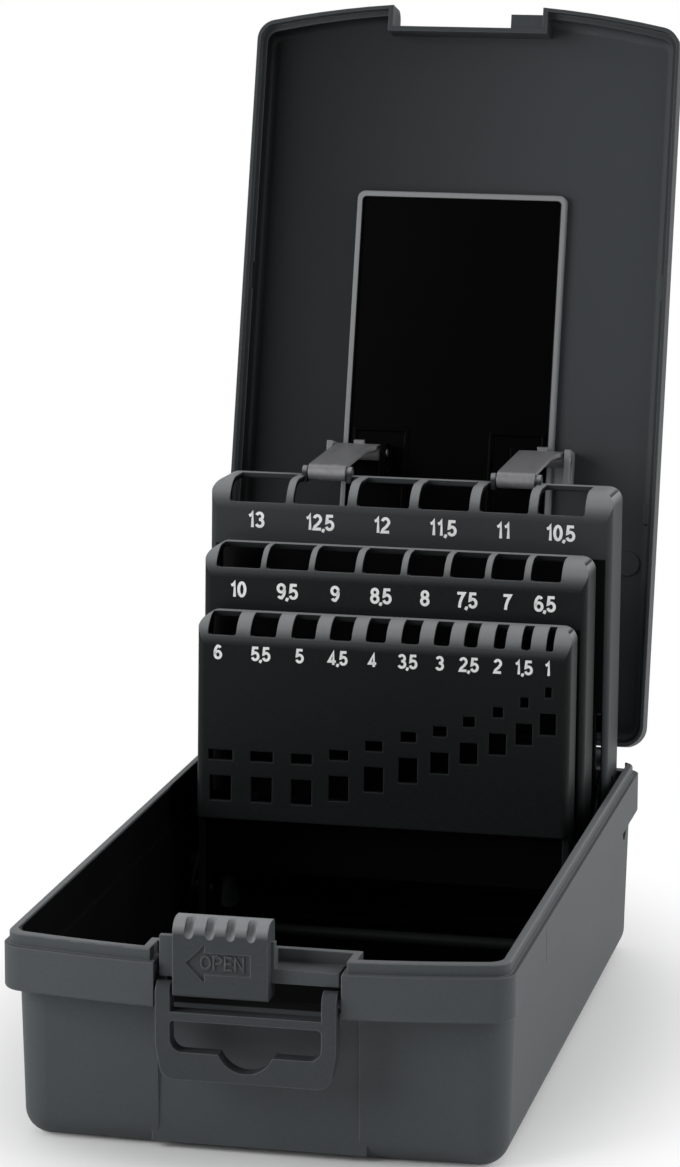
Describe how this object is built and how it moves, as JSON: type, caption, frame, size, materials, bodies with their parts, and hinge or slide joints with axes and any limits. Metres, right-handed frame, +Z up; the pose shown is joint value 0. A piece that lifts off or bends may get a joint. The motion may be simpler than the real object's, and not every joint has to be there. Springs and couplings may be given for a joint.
{
  "type": "drill bit case",
  "caption": "Hinged moulded case whose racks of drill bit sockets stand up in steps when the lid opens, with a sliding latch and a hang handle",
  "frame": {"origin": "middle of the tray's flat underside", "axes": "+X to the right seen from the latch, +Y to the hinge side, +Z up"},
  "size_m": [0.106, 0.2368, 0.2219],
  "materials": {
    "case_plastic": "fine-textured moulded plastic, dark grey",
    "rack_plastic": "satin moulded plastic, near black, with white size numbers",
    "gloss_panel": "polished black moulding",
    "strap_steel": "zinc-plated stamped sheet",
    "steel": "plain drawn steel"
  },
  "bodies": {
    "base": {"tray": "case_plastic", "hinge_pin_left": "steel", "hinge_pin_right": "steel", "front_axle": "rack_plastic", "middle_axle": "rack_plastic", "rear_axle": "rack_plastic"},
    "lid": {"lid": "case_plastic", "lid_pad": "gloss_panel"},
    "rear_rack": {"rear_rack": "rack_plastic", "rack_rod_left": "steel", "rack_rod_right": "steel"},
    "middle_rack": {"middle_rack": "rack_plastic"},
    "front_rack": {"front_rack": "rack_plastic"},
    "strap_left": {"strap_left": "strap_steel", "strap_pin_left": "steel"},
    "strap_right": {"strap_right": "strap_steel", "strap_pin_right": "steel"},
    "link_left": {"link_bar_left": "rack_plastic", "link_rivets_left": "rack_plastic"},
    "link_right": {"link_bar_right": "rack_plastic", "link_rivets_right": "rack_plastic"},
    "slider": {"latch_slider": "case_plastic"},
    "handle": {"hang_handle": "case_plastic"}
  },
  "joints": [
    {"name": "lid_hinge", "type": "hinge", "parent": "base", "child": "lid", "pos_m": [0, 0.09, 0.0445], "axis": [1, 0, 0], "range_deg": [0, 104.6]},
    {"name": "rear_rack_pivot", "type": "hinge", "parent": "base", "child": "rear_rack", "pos_m": [0, 0.0715, 0.0345], "axis": [1, 0, 0], "range_deg": [0, 92]},
    {"name": "middle_rack_pivot", "type": "hinge", "parent": "base", "child": "middle_rack", "pos_m": [0, 0.0535, 0.021], "axis": [1, 0, 0], "range_deg": [0, 92]},
    {"name": "front_rack_pivot", "type": "hinge", "parent": "base", "child": "front_rack", "pos_m": [0, 0.041, 0.0105], "axis": [1, 0, 0], "range_deg": [0, 92]},
    {"name": "strap_left_hook", "type": "hinge", "parent": "rear_rack", "child": "strap_left", "pos_m": [-0.02275, 0.0796, 0.1132], "axis": [1, 0, 0], "range_deg": [-82.02, 0]},
    {"name": "strap_right_hook", "type": "hinge", "parent": "rear_rack", "child": "strap_right", "pos_m": [0.02315, 0.0796, 0.1132], "axis": [1, 0, 0], "range_deg": [-82.02, 0]},
    {"name": "link_left_rivet", "type": "hinge", "parent": "rear_rack", "child": "link_left", "pos_m": [-0.04605, 0.07181, 0.04349], "axis": [1, 0, 0], "range_deg": [-92, 0]},
    {"name": "link_right_rivet", "type": "hinge", "parent": "rear_rack", "child": "link_right", "pos_m": [0.04605, 0.07181, 0.04349], "axis": [1, 0, 0], "range_deg": [-92, 0]},
    {"name": "latch_slide", "type": "slide", "parent": "base", "child": "slider", "axis": [1, 0, 0], "range_m": [0, 0.01]},
    {"name": "handle_hinge", "type": "hinge", "parent": "base", "child": "handle", "pos_m": [0, -0.0913, 0.036], "axis": [-1, 0, 0], "range_deg": [0, 90]}
  ],
  "couplings": [
    {"joint": "rear_rack_pivot", "follows": "lid_hinge", "ratio": 0.87954},
    {"joint": "middle_rack_pivot", "follows": "lid_hinge", "ratio": 0.87954},
    {"joint": "front_rack_pivot", "follows": "lid_hinge", "ratio": 0.87954},
    {"joint": "strap_left_hook", "follows": "lid_hinge", "ratio": -0.78403},
    {"joint": "strap_right_hook", "follows": "lid_hinge", "ratio": -0.78403},
    {"joint": "link_left_rivet", "follows": "lid_hinge", "ratio": -0.87954},
    {"joint": "link_right_rivet", "follows": "lid_hinge", "ratio": -0.87954}
  ]
}
